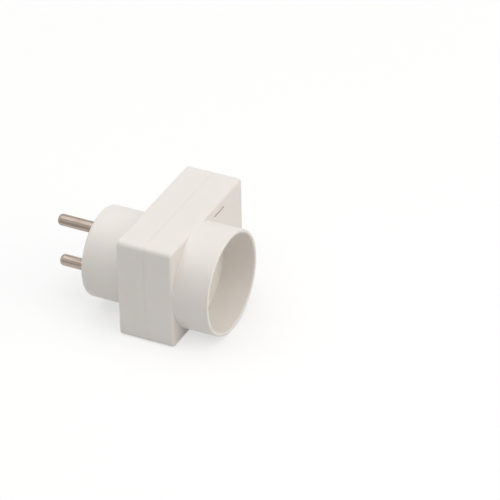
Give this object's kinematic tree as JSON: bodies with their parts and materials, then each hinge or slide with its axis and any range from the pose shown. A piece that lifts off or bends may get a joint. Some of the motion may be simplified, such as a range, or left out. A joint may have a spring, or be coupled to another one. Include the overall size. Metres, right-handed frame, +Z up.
{
  "type": "multi socket adapter",
  "caption": "Plug adapter: a flat bar housing with a round plug with pins on one side, a round outlet well on the other and a flat outlet in its far end.",
  "frame": {"origin": "on the underside, at the parting seam, straight below the common axis of the plug and the round outlet", "axes": "+X along the plug's axis from the pins to the round outlet's mouth, +Y along the bar to the flat outlet, +Z up"},
  "size_m": [0.0762, 0.062, 0.0436],
  "materials": {
    "white_plastic": "satin moulded, warm white",
    "plated_pins": "nickel plated over brass, brownish",
    "contact_brass": "rolled sheet",
    "screw_steel": "zinc plated"
  },
  "bodies": {
    "root": {"plug_side_shell": "white_plastic", "socket_side_shell": "white_plastic", "upper_pin": "plated_pins", "lower_pin": "plated_pins", "upper_pole_strip": "contact_brass", "lower_pole_strip": "contact_brass", "upper_round_outlet_contact": "contact_brass", "lower_round_outlet_contact": "contact_brass", "upper_flat_outlet_contact": "contact_brass", "lower_flat_outlet_contact": "contact_brass", "contact_rivets": "contact_brass", "housing_screw": "screw_steel"}
  },
  "joints": []
}
